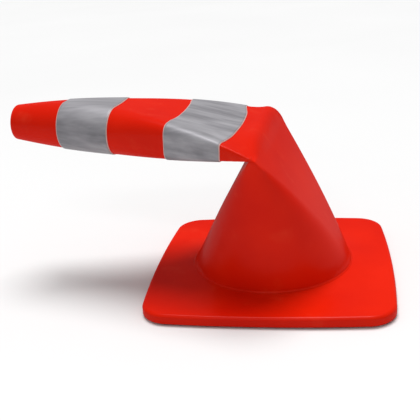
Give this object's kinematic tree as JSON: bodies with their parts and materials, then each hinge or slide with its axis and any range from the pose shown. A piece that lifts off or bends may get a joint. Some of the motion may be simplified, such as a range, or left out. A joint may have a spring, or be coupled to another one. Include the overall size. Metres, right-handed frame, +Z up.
{
  "type": "traffic cone",
  "caption": "Flexible folded traffic cone on a square base, its top half bent over at a creased fold, with reflective collars and an open tip.",
  "frame": {"origin": "on the floor, at the middle of the cone's open mouth", "axes": "+Z up out of the floor; the folded-over top points to -X and a little to +Y; +Y is the side away from the reference view"},
  "size_m": [0.6402, 0.406, 0.3089],
  "materials": {
    "orange_base": "glossy moulded PVC, fine leathery skin",
    "orange_skin": "glossy flexible PVC",
    "white_vinyl": "satin vinyl sleeve, seen as a thin pale line at each edge",
    "silver_film": "silver-grey retroreflective film"
  },
  "bodies": {
    "stand": {"base_plate": "orange_base", "cone_foot": "orange_skin", "lower_inner_face": "orange_skin", "lower_outer_face": "orange_skin", "lower_near_end": "orange_skin", "lower_far_end": "orange_skin", "fold_crease": "orange_skin"},
    "folded_top": {"upper_inner_face": "orange_skin", "upper_outer_face": "orange_skin", "upper_near_end": "orange_skin", "upper_far_end": "orange_skin", "cone_tip": "orange_skin", "upper_collar_sleeve": "white_vinyl", "upper_collar_film": "silver_film", "lower_collar_sleeve": "white_vinyl", "lower_collar_film": "silver_film"}
  },
  "joints": [
    {"name": "fold", "type": "hinge", "parent": "stand", "child": "folded_top", "pos_m": [-0.0025, -0.003, 0.248], "axis": [0.06, 0.9982, 0], "range_deg": [-10, 86]}
  ]
}
